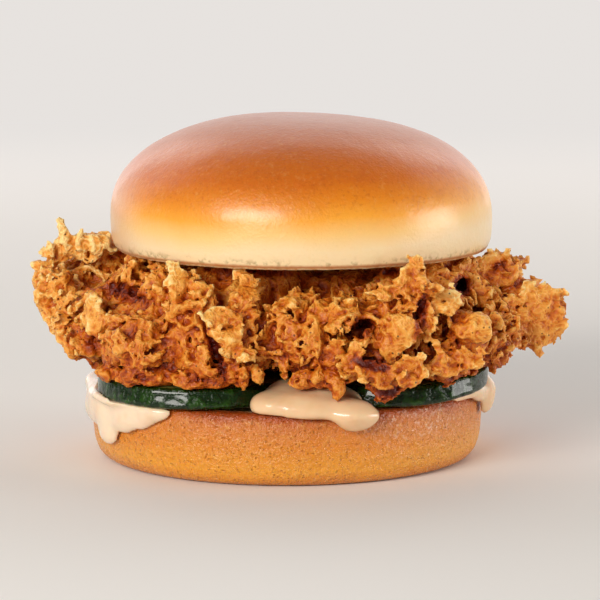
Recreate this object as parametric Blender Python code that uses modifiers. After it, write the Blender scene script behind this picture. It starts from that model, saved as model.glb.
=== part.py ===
"""A fried chicken burger: a soft bun crown and heel, a crusted fillet wider than the bun,
two thick pickle slices and a layer of sauce that runs over the heel's rim in three places.

Metres. +X is the burger's right hand side, -Y its front and +Z up. The origin is on the
table, under the middle of the whole burger.
"""

import math
import random

import bmesh
import bpy
from mathutils import Euler, Matrix, Vector, noise

MM = 0.001
CLEARANCE = 0.35 * MM  # between pieces that touch
MERGE = 0.05 * MM  # merge distance of every modifier that merges

# The bun. The crown is a dome on a short upright rim, the heel a flat cake with a round foot.
HEEL_RADIUS = 54 * MM
HEEL_HEIGHT = 19.5 * MM
HEEL_DISH = 1.4 * MM  # how far the filling has pressed the cut face in
HEEL_X = -3.6 * MM  # the heel stands a little to the left of the crown
CROWN_X = 0.4 * MM
CROWN_RADIUS = 52.6 * MM
CROWN_HEIGHT = 36.2 * MM
CROWN_UNDERSIDE = 57.1 * MM
BUN_STEPS = 40

# The fillet lies across the pickles and carries the crown.
FILLET_WIDTH = 148 * MM
FILLET_DEPTH = 114.5 * MM
FILLET_MIDDLE = Vector((0, 0, 42 * MM))
FILLET_FACES = 4000

# The pickles lie side by side on the sauce, their rims just past the heel's rim.
PICKLE_THICKNESS = 5.4 * MM
PICKLE_Z = HEEL_HEIGHT + CLEARANCE
PICKLES = {  # radius, middle of the underside, and how far the outer end is bent up
    "pickle_left": (26.5 * MM, Vector((-27.8 * MM, -21.5 * MM, PICKLE_Z)), 0.8 * MM),
    "pickle_right": (25 * MM, Vector((25.6 * MM, -19 * MM, PICKLE_Z)), 2.6 * MM),
}

SAUCE_THICKNESS = 2.4 * MM
SAUCE_FACES = 1100


def start_empty():
    """Removes whatever the scene holds."""
    for obj in list(bpy.data.objects):
        bpy.data.objects.remove(obj, do_unlink=True)


def new_collection(name):
    made = bpy.data.collections.new(name)
    bpy.context.scene.collection.children.link(made)
    return made


def plain_material(name, colour, roughness):
    made = bpy.data.materials.new(name)
    made.use_nodes = True
    shader = made.node_tree.nodes["Principled BSDF"]
    shader.inputs["Base Color"].default_value = (*colour, 1.0)
    shader.inputs["Roughness"].default_value = roughness
    shader.inputs["Metallic"].default_value = 0.0
    return made


def new_object(name, mesh, collection, material=None):
    obj = bpy.data.objects.new(name, mesh)
    collection.objects.link(obj)
    if material:
        mesh.materials.clear()
        mesh.materials.append(material)
    return obj


def make_cutter(obj):
    """Keeps a helper out of the finished model."""
    obj.hide_render = True
    obj.display_type = "WIRE"
    return obj


def evaluated_mesh(obj):
    """The object's mesh with its modifiers applied."""
    graph = bpy.context.evaluated_depsgraph_get()
    return bpy.data.meshes.new_from_object(obj.evaluated_get(graph))


def apply_modifiers(obj):
    mesh = evaluated_mesh(obj)
    obj.modifiers.clear()
    obj.data = mesh
    return obj


def super_arc(width, height, fullness, steps):
    """A quarter of a superellipse as (x, z), from its top (0, height) to its side (width, 0)."""
    for step in range(steps + 1):
        angle = math.pi / 2 * step / steps
        across = width * math.sin(angle) ** (2 / fullness)
        up = height * math.cos(angle) ** (2 / fullness)
        yield across, up


def turned(name, profile, collection, steps=BUN_STEPS, material=None):
    """A profile of (radius, z), from the top on the axis to the bottom on the axis, turned about Z."""
    mesh = bpy.data.meshes.new(name)
    points = [(radius, 0, z) for radius, z in profile]
    edges = [(i, i + 1) for i in range(len(points) - 1)]
    mesh.from_pydata(points, edges, [])
    obj = new_object(name, mesh, collection, material)
    screw = obj.modifiers.new("turn", "SCREW")
    screw.steps = screw.render_steps = steps
    screw.use_merge_vertices = True
    screw.merge_threshold = MERGE
    return face_outwards(apply_modifiers(obj))


def face_outwards(obj):
    bm = bmesh.new()
    bm.from_mesh(obj.data)
    bmesh.ops.recalc_face_normals(bm, faces=bm.faces)
    bm.to_mesh(obj.data)
    bm.free()
    return obj


def reshape(obj, move):
    """Moves each vertex of the object's mesh to move(vertex position)."""
    for vertex in obj.data.vertices:
        vertex.co = move(vertex.co.copy())
    obj.data.update()
    return obj


def finish_round(obj, sharp_degrees=40):
    obj.data.shade_smooth()
    obj.data.set_sharp_from_angle(angle=math.radians(sharp_degrees))
    return obj


# The bun -----------------------------------------------------------------------------------


def crown_profile(grow):
    """Dome, upright rim and cut underside, all grown outwards by grow."""
    radius = CROWN_RADIUS + grow
    rim_height = 8.5 * MM
    rim_tuck = 2.6 * MM
    dome = CROWN_HEIGHT - rim_height + grow
    profile = [(x, rim_height + z) for x, z in super_arc(radius, dome, 2.35, 9)]
    for x, z in reversed(list(super_arc(rim_tuck, rim_height + grow, 2.6, 4))[:-1]):
        profile.append((radius - rim_tuck + x, rim_height - z))
    profile.append((0.0, -grow))
    return profile


def make_crown(name, collection, material=None, grow=0.0):
    obj = turned(name, crown_profile(grow), collection, material=material)

    def dented(point):
        """Hand-shaped dough: a broad, soft unevenness that fades out at the cut underside."""
        share = min(1.0, max(0.0, point.z / CROWN_HEIGHT))
        bump = noise.noise(point * 22 + Vector((3, 1, 7))) * 1.2 * MM * share
        point += point.normalized() * bump
        return point + Vector((CROWN_X, 0, CROWN_UNDERSIDE))

    return finish_round(reshape(obj, dented))


def heel_profile(grow):
    """Dished cut face, softly bulging side and round foot, all grown outwards by grow."""
    radius = HEEL_RADIUS + grow
    foot = 6.4 * MM
    widest = 14 * MM
    shoulder = 2.2 * MM
    top = HEEL_HEIGHT - widest + grow
    dish = HEEL_HEIGHT - HEEL_DISH + grow
    profile = [(0.0, dish), (radius - 10 * MM, dish), (radius - 5 * MM, HEEL_HEIGHT + grow)]
    for x, z in super_arc(shoulder, top, 2.6, 4):
        profile.append((radius - shoulder + x, widest + z))
    for x, z in reversed(list(super_arc(foot, widest, 3.2, 6))[:-1]):
        profile.append((radius - foot + x, widest - z))
    profile.append((0.0, 0.0))
    return profile


def make_heel(name, collection, material=None, grow=0.0):
    obj = turned(name, heel_profile(grow), collection, material=material)

    def settled(point):
        """The side swells and pinches a little; the cut face and the foot stay flat."""
        share = min(1.0, max(0.0, point.z / HEEL_HEIGHT))
        around = math.atan2(point.y, point.x)
        swell = 1 + 0.006 * share * math.sin(2 * around + 0.6) + 0.004 * share * math.sin(5 * around)
        return Vector((point.x * swell + HEEL_X, point.y * swell, point.z))

    return finish_round(reshape(obj, settled))


# The pickles -------------------------------------------------------------------------------


def pickle_profile(radius, grow):
    """A slice with slightly rounded edges: (radius, z) from the top centre to the bottom centre."""
    radius += grow
    edge = 0.9 * MM
    top = PICKLE_THICKNESS + grow
    corner = list(super_arc(edge, edge, 2, 2))
    profile = [(0.0, top)]
    profile += [(radius - edge + x, top - edge + z) for x, z in corner]
    profile += [(radius - edge + x, edge - grow - z) for x, z in reversed(corner)]
    profile.append((0.0, -grow))
    return profile


def make_pickle(name, collection, material=None, grow=0.0):
    radius, place, lift = PICKLES[name.replace("_cutter", "")]
    outwards = math.copysign(1, place.x)
    obj = turned(name, pickle_profile(radius, grow), collection, steps=30, material=material)

    def limp(point):
        """The slice isn't a true circle, and its outer end is bent up."""
        around = math.atan2(point.y, point.x)
        uneven = 1 + 0.018 * math.sin(3 * around + place.x * 90) + 0.012 * math.sin(2 * around)
        reach = max(0.0, point.x * outwards / radius)
        return Vector((point.x * uneven, point.y * uneven, point.z + lift * reach**2)) + place

    return finish_round(reshape(obj, limp))


# Fused masses: the fillet and the sauce ----------------------------------------------------


def add_lump(bm, centre, radii, turn=(0, 0, 0), detail=3):
    """An ellipsoid of half axes radii, turned by degrees about X, Y and Z, at centre."""
    rotation = Euler([math.radians(a) for a in turn]).to_matrix().to_4x4()
    size = Matrix.Diagonal((*radii, 1.0))
    place = Matrix.Translation(centre) @ rotation @ size
    bmesh.ops.create_icosphere(bm, subdivisions=detail, radius=1.0, matrix=place)


def fused(name, bm, collection, voxel, material=None):
    """The lumps in bm as one closed skin, as if pressed out of one dough."""
    mesh = bpy.data.meshes.new(name)
    bm.to_mesh(mesh)
    bm.free()
    obj = new_object(name, mesh, collection, material)
    remesh = obj.modifiers.new("fuse", "REMESH")
    remesh.mode = "VOXEL"
    remesh.voxel_size = voxel
    return obj


def add_relief(obj, kind, size, strength, level=0.5):
    """Pushes the skin in and out by a cloud or cell pattern of that size."""
    pattern = bpy.data.textures.new(f"{obj.name}_{kind.lower()}", kind)
    pattern.noise_scale = size
    relief = obj.modifiers.new("relief", "DISPLACE")
    relief.texture = pattern
    relief.texture_coords = "LOCAL"
    relief.strength = strength
    relief.mid_level = level


def thin_out(obj, faces):
    """Collapses edges until about that many triangles are left."""
    mesh = evaluated_mesh(obj)
    mesh.calc_loop_triangles()
    share = faces / len(mesh.loop_triangles)
    bpy.data.meshes.remove(mesh)
    thin = obj.modifiers.new("thin", "DECIMATE")
    thin.ratio = min(1.0, share)


def cut_away(obj, cutter):
    boolean = obj.modifiers.new("cut_" + cutter.name, "BOOLEAN")
    boolean.operation = "DIFFERENCE"
    boolean.object = cutter


def keep_largest_body(obj):
    """Drops crumbs that a cut has parted from the main body."""
    bm = bmesh.new()
    bm.from_mesh(obj.data)
    left = set(bm.verts)
    bodies = []
    while left:
        start = left.pop()
        body, edge_of_search = {start}, [start]
        while edge_of_search:
            vertex = edge_of_search.pop()
            for edge in vertex.link_edges:
                other = edge.other_vert(vertex)
                if other in left:
                    left.discard(other)
                    body.add(other)
                    edge_of_search.append(other)
        bodies.append(body)
    largest = max(bodies, key=len)
    bmesh.ops.delete(bm, geom=[v for v in bm.verts if v not in largest], context="VERTS")
    bm.to_mesh(obj.data)
    bm.free()


def grown_copy(obj, name, collection, grow):
    """A copy with its skin moved outwards by grow, to cut its neighbours with."""
    copy = new_object(name, obj.data.copy(), collection)
    swell = copy.modifiers.new("swell", "DISPLACE")
    swell.strength = grow
    swell.mid_level = 0.0
    return make_cutter(apply_modifiers(copy))


# The fillet's own features at the front and at both ends. Each entry is a mass of crust: its
# centre and half axes in millimetres, and its turn in degrees about X, Y and Z.
FILLET_MASSES = (
    # the cupped left end: outer wall, back wall with its two spikes, and front lip
    ((-66, -4, 43), (7.5, 15, 12), (0, -24, 8)),
    ((-56, 10, 50), (14, 7, 9), (0, 0, -14)),
    ((-55, -18, 37), (15, 11, 10), (0, 24, 20)),
    ((-60, 6, 55), (6, 4.5, 6), (0, 10, 0)),
    ((-65, 3, 58), (2.0, 2.0, 6.0), (0, -14, 0)),
    ((-50, 6, 57), (4, 3, 3.5), (0, 24, 0)),
    # the front, left to right: bosses and the ridges between them
    ((-40, -36, 35), (15, 14, 11), (0, 8, 30)),
    ((-28, -43, 42), (8, 8, 9), (0, 0, 0)),
    ((-22, -44, 33), (12, 8, 8), (0, 0, 0)),
    ((-14, -46, 38), (9, 9, 8), (0, -20, 0)),
    ((-15, -47, 46), (5, 5, 7), (0, 12, 0)),
    ((2, -45, 37), (13, 11, 9), (0, 0, 0)),
    ((8, -47, 43), (9, 8, 8), (0, -10, 0)),
    ((19, -46, 35), (11, 10, 9), (0, 0, 0)),
    ((25, -47, 44), (9, 6.5, 9), (0, 30, 0)),
    ((32, -53.5, 51.5), (4.6, 2.6, 7.6), (6, 20, -12)),
    ((40, -38, 37), (12, 13, 10), (0, -8, -20)),
    ((51, -26, 37), (10, 14, 10), (0, -8, -20)),
    # what hangs lowest over the sauce and the pickles
    ((7, -48, 30), (6.5, 5, 5), (0, 20, 0)),
    ((23, -50, 27.5), (7, 5, 6), (0, -20, 0)),
    ((-39, -34, 29.5), (13, 11, 4.5), (0, 4, 30)),
    ((43, -29, 30), (10, 12, 4.5), (0, -8, -30)),
    # the right end: a curl against the crown, a flat flake and the shoulder under it
    ((56, -6, 50.5), (8, 10, 6.5), (0, 0, 0)),
    ((57, -4, 40), (7, 14, 11), (0, 0, 0)),
    ((64, -10, 39.5), (9.5, 9, 9), (0, -12, 0)),
    ((70, -11, 40.5), (5, 6, 7), (0, 10, 0)),
    ((54, -8, 30.5), (5, 12, 5), (0, 0, 0)),
)


def around_fillet(degrees, reach, z):
    """A point round the fillet's middle, at that share of its half width and half depth."""
    angle = math.radians(degrees)
    across = FILLET_WIDTH / 2 * reach * math.cos(angle)
    deep = FILLET_DEPTH / 2 * reach * math.sin(angle)
    return Vector((across, deep, z))


def add_meat(bm, rng):
    """The body of the fillet: high enough for the crown, and sagging behind the pickles."""
    middle = FILLET_MIDDLE
    add_lump(bm, middle, (54 * MM, 46 * MM, 14.5 * MM))
    for degrees in (35, 145, 215, 325):
        shoulder = around_fillet(degrees, 0.46, middle.z + 5 * MM)
        add_lump(bm, shoulder, (26 * MM, 25 * MM, 12 * MM))
    for degrees in (60, 90, 120):
        sag = around_fillet(degrees, 0.6, middle.z - 10.5 * MM)
        add_lump(bm, sag, (20 * MM, 14 * MM, 10.5 * MM))
    # the back is as craggy as the front
    for degrees in range(15, 160, 18):
        boss = around_fillet(degrees, rng.uniform(0.76, 0.84), middle.z - rng.uniform(0, 7) * MM)
        radii = (rng.uniform(11, 14) * MM, rng.uniform(9, 13) * MM, rng.uniform(9, 11) * MM)
        add_lump(bm, boss, radii, (0, 0, degrees - 90))


def add_knobs(bm, rng):
    """Small knobs of batter all round the edge."""
    knobs = 58
    for knob in range(knobs):
        degrees = 360 * (knob + rng.uniform(-0.4, 0.4)) / knobs
        centre = around_fillet(degrees, 0.84, FILLET_MIDDLE.z + rng.uniform(-8.5, 7) * MM)
        size = rng.uniform(2.6, 5.2) * MM
        radii = (size * rng.uniform(0.6, 1.1), size, size * rng.uniform(0.5, 1.2))
        turn = [rng.uniform(-50, 50) for _ in range(3)]
        add_lump(bm, centre, radii, turn, detail=2)


def centre_on_axis(obj):
    """Stretches and moves the fillet, by a hair, to its stated width and depth about the origin."""
    for axis, size in ((0, FILLET_WIDTH), (1, FILLET_DEPTH)):
        values = [v.co[axis] for v in obj.data.vertices]
        low, high = min(values), max(values)
        share = size / (high - low)
        for vertex in obj.data.vertices:
            vertex.co[axis] = (vertex.co[axis] - (low + high) / 2) * share


def make_fillet(collection, material, cutters):
    rng = random.Random(7)
    bm = bmesh.new()
    add_meat(bm, rng)
    for centre, radii, turn in FILLET_MASSES:
        add_lump(bm, Vector(centre) * MM, Vector(radii) * MM, turn)
    add_knobs(bm, rng)
    obj = fused("chicken_fillet", bm, collection, 1.5 * MM, material)
    add_relief(obj, "VORONOI", 6 * MM, -2.6 * MM)
    add_relief(obj, "CLOUDS", 4 * MM, 2.6 * MM)
    thin_out(obj, FILLET_FACES)
    apply_modifiers(obj)
    centre_on_axis(obj)
    for cutter in cutters:
        cut_away(obj, cutter)
    apply_modifiers(obj)
    keep_largest_body(obj)
    return finish_round(obj, 50)


# The sauce ---------------------------------------------------------------------------------


def at_rim(degrees, z, outwards=0.0):
    """A point on the heel's side: degrees round from the front, positive to the right."""
    angle = math.radians(degrees)
    reach = HEEL_RADIUS + outwards
    return Vector((HEEL_X + reach * math.sin(angle), -reach * math.cos(angle), z))


def add_curtain(bm, degrees, top, bottom, width, thickness):
    """Sauce on the heel's side from top down to bottom, thickest at its lower edge."""
    middle = (top + bottom) / 2
    half = (top - bottom) / 2
    add_lump(bm, at_rim(degrees, middle), (width, thickness, half), (0, 0, degrees))
    heavy = min(width, half) * 0.75
    low = at_rim(degrees, bottom + heavy, 0.2 * MM)
    add_lump(bm, low, (heavy * 1.15, thickness * 1.1, heavy), (0, 0, degrees))


def make_sauce(collection, material, cutters):
    bm = bmesh.new()
    layer = Vector((HEEL_X, 0, HEEL_HEIGHT + 0.4 * MM))
    add_lump(bm, layer, (51 * MM, 51 * MM, SAUCE_THICKNESS), detail=4)
    # the mound between the pickles, and its lip over the front rim
    add_lump(bm, Vector((3 * MM, -39 * MM, 22 * MM)), (14 * MM, 15 * MM, 5.6 * MM))
    for degrees, bottom, width in ((-4, 18.6, 7), (3, 18.0, 8), (11, 18.2, 7), (19.5, 15, 6.8)):
        add_curtain(bm, degrees, 25.5 * MM, bottom * MM, width * MM, 3.3 * MM)
    # from under the left pickle, with one long drop
    add_lump(bm, Vector((-45 * MM, -27 * MM, 20.5 * MM)), (11 * MM, 13 * MM, 3 * MM))
    add_lump(bm, Vector((-53 * MM, 1 * MM, 20.5 * MM)), (6 * MM, 7 * MM, 2 * MM))
    add_lump(bm, Vector((-54.5 * MM, -13 * MM, 21 * MM)), (4.4 * MM, 9 * MM, 4.6 * MM))
    for degrees, top, bottom, width, thickness in (
        (-84, 23, 13, 6, 1.9),
        (-75, 24, 10, 7, 2.3),
        (-63.5, 24, 6.8, 7, 2.8),
        (-53, 24, 12.5, 8, 3.1),
        (-44, 23, 15, 7.5, 3.1),
    ):
        add_curtain(bm, degrees, top * MM, bottom * MM, width * MM, thickness * MM)
    # round the right pickle's end
    add_curtain(bm, 76, 24.5 * MM, 13.5 * MM, 5.5 * MM, 3 * MM)
    add_curtain(bm, 66, 21.5 * MM, 17.4 * MM, 7 * MM, 2 * MM)
    obj = fused("sauce", bm, collection, 0.8 * MM, material)
    soften = obj.modifiers.new("soften", "SMOOTH")
    soften.iterations = 4
    soften.factor = 0.5
    thin_out(obj, SAUCE_FACES)
    apply_modifiers(obj)
    for cutter in cutters:
        cut_away(obj, cutter)
    apply_modifiers(obj)
    keep_largest_body(obj)
    return finish_round(obj, 50)


def main():
    start_empty()
    burger = new_collection("chicken_burger")
    cutters = new_collection("cutters")
    crust = plain_material("golden_bun", (0.62, 0.29, 0.08), 0.45)
    heel_crust = plain_material("heel_bun", (0.70, 0.36, 0.11), 0.6)
    batter = plain_material("fried_batter", (0.56, 0.24, 0.06), 0.55)
    cucumber = plain_material("pickle_green", (0.06, 0.11, 0.03), 0.3)
    dressing = plain_material("sauce_cream", (0.86, 0.66, 0.42), 0.25)

    make_crown("bun_crown", burger, crust)
    make_heel("bun_heel", burger, heel_crust)
    for name in PICKLES:
        make_pickle(name, burger, cucumber)

    crown_cutter = make_cutter(make_crown("crown_cutter", cutters, grow=CLEARANCE))
    heel_cutter = make_cutter(make_heel("heel_cutter", cutters, grow=CLEARANCE))
    pickle_cutters = [
        make_cutter(make_pickle(name + "_cutter", cutters, grow=CLEARANCE)) for name in PICKLES
    ]
    fillet = make_fillet(burger, batter, [crown_cutter, *pickle_cutters])
    fillet_cutter = grown_copy(fillet, "fillet_cutter", cutters, CLEARANCE)
    make_sauce(burger, dressing, [*pickle_cutters, fillet_cutter, heel_cutter])


main()
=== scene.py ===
"""The looks of a fried chicken burger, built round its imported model.

Everything is in metres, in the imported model's own frame, with +Z up and the front at -Y.
"""

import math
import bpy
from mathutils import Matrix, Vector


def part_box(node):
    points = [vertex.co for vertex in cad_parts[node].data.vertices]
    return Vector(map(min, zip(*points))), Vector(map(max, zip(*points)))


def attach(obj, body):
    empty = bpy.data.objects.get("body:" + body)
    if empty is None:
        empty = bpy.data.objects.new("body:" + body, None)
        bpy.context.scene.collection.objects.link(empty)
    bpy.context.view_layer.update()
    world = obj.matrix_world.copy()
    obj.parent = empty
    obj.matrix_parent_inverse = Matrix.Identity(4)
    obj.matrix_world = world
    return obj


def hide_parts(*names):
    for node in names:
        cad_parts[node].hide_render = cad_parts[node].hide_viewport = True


bl_info = {
    "name": "Chicken burger",
    "version": (1, 0, 0),
    "blender": (4, 5, 0),
    "location": "View3D > Sidebar > Burger",
    "description": "Builds the bun, the fried crust, the pickles, the sauce and their stage",
    "category": "Add Mesh",
}

import bpy
import numpy as np
from bpy.props import FloatProperty, FloatVectorProperty, IntProperty, PointerProperty
from bpy.types import Operator, Panel, PropertyGroup
from mathutils import Vector
from mathutils import noise as hills

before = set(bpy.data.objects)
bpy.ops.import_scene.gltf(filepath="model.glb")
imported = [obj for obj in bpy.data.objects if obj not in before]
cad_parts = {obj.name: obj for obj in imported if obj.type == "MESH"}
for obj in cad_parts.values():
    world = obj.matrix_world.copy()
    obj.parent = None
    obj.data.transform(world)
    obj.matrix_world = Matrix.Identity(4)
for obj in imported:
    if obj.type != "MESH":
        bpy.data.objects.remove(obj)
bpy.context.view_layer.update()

MM = 0.001
BODY = "root"
MERGE = 0.02 * MM  # points closer than this become one
PROFILE_STEP = 0.95 * MM  # spacing of the points down a bun's profile
FEWEST_POINTS = 1000  # a skin with fewer has come out empty
LOOSE_BIT = 400  # a part with fewer points is a stray bit


def srgb(red, green, blue):
    """A colour of three parts from 0 to 255 as the linear parts that a shader takes."""
    parts = (part / 255 for part in (red, green, blue))
    return tuple(p / 12.92 if p <= 0.04045 else ((p + 0.055) / 1.055) ** 2.4 for p in parts)


def length(name, description, default):
    """A setting in metres."""
    return FloatProperty(
        name=name, description=description, default=default, unit="LENGTH", precision=5
    )


def colour(name, description, default):
    """A colour setting, its default given in parts from 0 to 255."""
    return FloatVectorProperty(
        name=name, description=description, default=srgb(*default), subtype="COLOR", min=0, max=1
    )


# Settings -----------------------------------------------------------------------------------


class BunSettings(PropertyGroup):
    """Sizes and colours of the crown and the heel."""

    crown_radius: length("Crown radius", "Half width of the top bun", 52.6 * MM)
    crown_height: length("Crown height", "From its cut face to its top", 36.2 * MM)
    crown_x: length("Crown offset", "How far the crown stands to the right", 0.4 * MM)
    crown_z: length("Crown underside", "Height of the crown's cut face", 57.1 * MM)
    heel_radius: length("Heel radius", "Half width of the bottom bun", 54 * MM)
    heel_height: length("Heel height", "From its foot to its rim", 19.5 * MM)
    heel_x: length("Heel offset", "How far the heel stands to the right", -3.6 * MM)
    dish: length("Dish", "How far the filling has pressed the heel's cut face in", 1.4 * MM)
    steps: IntProperty(name="Steps", description="Steps round each bun half", default=440, min=64)
    baked: colour("Baked top", "Well browned, glazed crust", (204, 104, 4))
    golden: colour("Golden side", "Where the browning thins out", (238, 160, 44))
    pale: colour("Pale rim", "Hardly browned dough near the cut", (237, 208, 160))
    toasted: colour("Toasted cut", "The line where the cut face was toasted", (176, 98, 34))
    crumb: colour("Crumb", "The soft inside at the cut face", (240, 214, 164))
    tan: colour("Heel side", "Side of the bottom bun", (219, 132, 26))


class CrustSettings(PropertyGroup):
    """Sizes and colours of the fried crust."""

    grain: length("Grain", "Smallest step of the crust's surface", 0.65 * MM)
    flake: length("Flake", "Spacing of the largest curled flakes", 13 * MM)
    # The crust's colours run along its relief from the deepest hollows to the highest edges: the
    # darker ones stand in part for painted shade, the lighter ones in part for painted highlight.
    crevice: colour("Crevice", "Deepest, darkest browning", (84, 14, 0))
    deep: colour("Deep", "Red brown between the flakes", (144, 50, 0))
    plate: colour("Flake face", "Golden orange face of a flake", (216, 128, 34))
    ridge: colour("Ridge", "Lighter folds", (240, 170, 74))
    rim: colour("Rim", "Thin pale edges", (255, 218, 142))
    pepper: colour("Pepper", "Specks of pepper", (70, 30, 14))


class PickleSettings(PropertyGroup):
    """Sizes and colours of the pickle slices."""

    thickness: length("Thickness", "Thickness of a slice", 5.4 * MM)
    skin: colour("Skin", "Dark green skin", (12, 36, 4))
    skin_light: colour("Lighter skin", "Paler streaks in the skin", (42, 78, 16))
    flesh: colour("Flesh", "Outer flesh", (150, 152, 78))
    heart: colour("Heart", "Glassy middle with the seeds", (186, 182, 112))


class SauceSettings(PropertyGroup):
    """The creamy sauce."""

    tint: colour("Sauce", "Creamy peach", (234, 198, 155))
    thin: colour("Thin sauce", "Where it is thin or stained", (224, 172, 118))
    grain: length("Grain", "Smallest step of the sauce's surface", 0.6 * MM)


class StageSettings(PropertyGroup):
    """Camera, lights and floor."""

    distance: length("Distance", "From the camera to the burger's middle", 0.80)
    middle: length("Middle", "Height that the camera looks at", 42.2 * MM)
    elevation: FloatProperty(
        name="Elevation",
        description="Camera angle above level",
        default=math.radians(8.1),
        subtype="ANGLE",
    )
    lens: FloatProperty(name="Lens", description="Focal length", default=173, unit="CAMERA")
    floor: colour("Floor", "Plain pale floor", (242, 240, 236))
    sky: colour("Surroundings", "Plain pale light from all round", (255, 250, 246))


class BurgerSettings(PropertyGroup):
    """All settings of the burger."""

    bun: PointerProperty(type=BunSettings, name="Bun", description="Top and bottom bun")
    crust: PointerProperty(type=CrustSettings, name="Crust", description="Fried crust")
    pickle: PointerProperty(type=PickleSettings, name="Pickles", description="Pickle slices")
    sauce: PointerProperty(type=SauceSettings, name="Sauce", description="Sauce")
    stage: PointerProperty(type=StageSettings, name="Stage", description="Camera, lights, floor")


# The slices: radius, place of the middle of the underside, and lift of the outer end.
SLICES = {
    "pickle_left": (26.5 * MM, -27.8 * MM, -21.5 * MM, 0.8 * MM),
    "pickle_right": (25 * MM, 25.6 * MM, -19 * MM, 2.6 * MM),
}
GAP = 0.35 * MM  # between a slice and the heel
SLANT = 0.22  # how far back a slice's top stands from its foot, in shares of its thickness

SKYLIGHT = 0.17  # how strongly the surroundings light the burger
BACKDROP = 0.80  # how bright they look behind it
# The lamps: name, place, width and height in metres, power in watts, and tint.
LAMPS = (
    ("key", (-0.50, -0.87, 0.40), (0.60, 0.30), 9.4, (255, 250, 244)),
    ("right", (0.95, -0.08, 0.15), (0.52, 0.34), 4.7, (255, 252, 248)),
    ("back_left", (-0.74, 0.70, 0.50), (1.00, 1.00), 3.4, (255, 250, 248)),
    ("back_right", (0.74, 0.70, 0.50), (1.00, 1.00), 3.0, (255, 250, 248)),
    ("back", (0.0, 1.00, 0.55), (1.30, 1.30), 5.0, (255, 250, 248)),
)


# Fields: sums over places, for shaders and for geometry -------------------------------------


class Field:
    """A socket of a node tree that adds, multiplies and compares like a number."""

    def __init__(self, tree, socket):
        self.tree = tree
        self.socket = socket

    def op(self, kind, *others):
        """Any sum of that kind with other fields or numbers."""
        node = self.tree.nodes.new("ShaderNodeMath")
        node.operation = kind
        for socket, value in zip(node.inputs, (self, *others)):
            feed(socket, value)
        return Field(self.tree, node.outputs[0])

    def __add__(self, other):
        return self.op("ADD", other)

    __radd__ = __add__

    def __sub__(self, other):
        return self.op("SUBTRACT", other)

    def __rsub__(self, other):
        return self.op("MULTIPLY", -1.0).op("ADD", other)

    def __mul__(self, other):
        return self.op("MULTIPLY", other)

    __rmul__ = __mul__

    def __abs__(self):
        return self.op("ABSOLUTE")

    def min(self, other):
        return self.op("MINIMUM", other)

    def max(self, other):
        return self.op("MAXIMUM", other)

    def join(self, other, blend):
        """The larger of the two, with their meeting rounded over blend."""
        return self.op("SMOOTH_MAX", other, blend)

    def cut(self, other, blend):
        """The smaller of the two, with their meeting rounded over blend."""
        return self.op("SMOOTH_MIN", other, blend)

    def step(self, low, high):
        """0 below low, 1 above high, and a soft rise between."""
        node = self.tree.nodes.new("ShaderNodeMapRange")
        node.interpolation_type = "SMOOTHSTEP"
        feed(node.inputs["Value"], self)
        node.inputs["From Min"].default_value = low
        node.inputs["From Max"].default_value = high
        return Field(self.tree, node.outputs["Result"])


def feed(socket, value):
    """Links a field to a socket, or sets a plain value on it."""
    if isinstance(value, Field):
        value.tree.links.new(value.socket, socket)
    else:
        socket.default_value = value


def vector(kind, first, second=None, scale=None):
    """A vector sum of that kind, as a field."""
    tree = first.tree
    node = tree.nodes.new("ShaderNodeVectorMath")
    node.operation = kind
    feed(node.inputs[0], first)
    if second is not None:
        feed(node.inputs[1], second)
    if scale is not None:
        feed(node.inputs["Scale"], scale)
    single = kind in ("DOT_PRODUCT", "LENGTH", "DISTANCE")
    return Field(tree, node.outputs["Value" if single else "Vector"])


def axes(place):
    """The three parts of a vector field."""
    node = place.tree.nodes.new("ShaderNodeSeparateXYZ")
    feed(node.inputs[0], place)
    return [Field(place.tree, out) for out in node.outputs]


def cloud_node(place, size, detail, rough, shift):
    """Soft noise with hills of that size."""
    node = place.tree.nodes.new("ShaderNodeTexNoise")
    node.inputs["Scale"].default_value = 1 / size
    node.inputs["Detail"].default_value = detail
    node.inputs["Roughness"].default_value = rough
    feed(node.inputs["Vector"], vector("ADD", place, shift))
    return node


def cloud(place, size, detail=0.0, rough=0.5, shift=(0, 0, 0)):
    """Soft noise round zero, from about -0.5 to 0.5, with hills of that size."""
    node = cloud_node(place, size, detail, rough, shift)
    return Field(place.tree, node.outputs[0]) - 0.5


def wavy(place, size, amount, shift=(0, 0, 0)):
    """The place pushed about by up to half amount, in waves of that size."""
    node = cloud_node(place, size, 0.0, 0.5, shift)
    push = vector("SUBTRACT", Field(place.tree, node.outputs["Color"]), (0.5, 0.5, 0.5))
    return vector("ADD", place, vector("SCALE", push, scale=amount))


def cells(place, size, shift=(0, 0, 0)):
    """Scattered points: vector from the nearest, distance to it, and its own random vector."""
    tree = place.tree
    moved = vector("ADD", place, shift)
    node = tree.nodes.new("ShaderNodeTexVoronoi")
    node.inputs["Scale"].default_value = 1 / size
    feed(node.inputs["Vector"], moved)
    away = vector("SUBTRACT", moved, Field(tree, node.outputs["Position"]))
    chance = vector("SUBTRACT", Field(tree, node.outputs["Color"]), (0.5, 0.5, 0.5))
    return away, Field(tree, node.outputs["Distance"]) * size, chance


# Meshes -------------------------------------------------------------------------------------


def only(obj):
    """Makes obj the one selected and active object."""
    if bpy.context.object and bpy.context.object.mode != "OBJECT":
        bpy.ops.object.mode_set(mode="OBJECT")
    bpy.ops.object.select_all(action="DESELECT")
    obj.select_set(True)
    bpy.context.view_layer.objects.active = obj
    return obj


def bake_modifiers(obj):
    """Applies all of the object's modifiers, in order."""
    only(obj)
    for modifier in list(obj.modifiers):
        bpy.ops.object.modifier_apply(modifier=modifier.name)
    return obj


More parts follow.
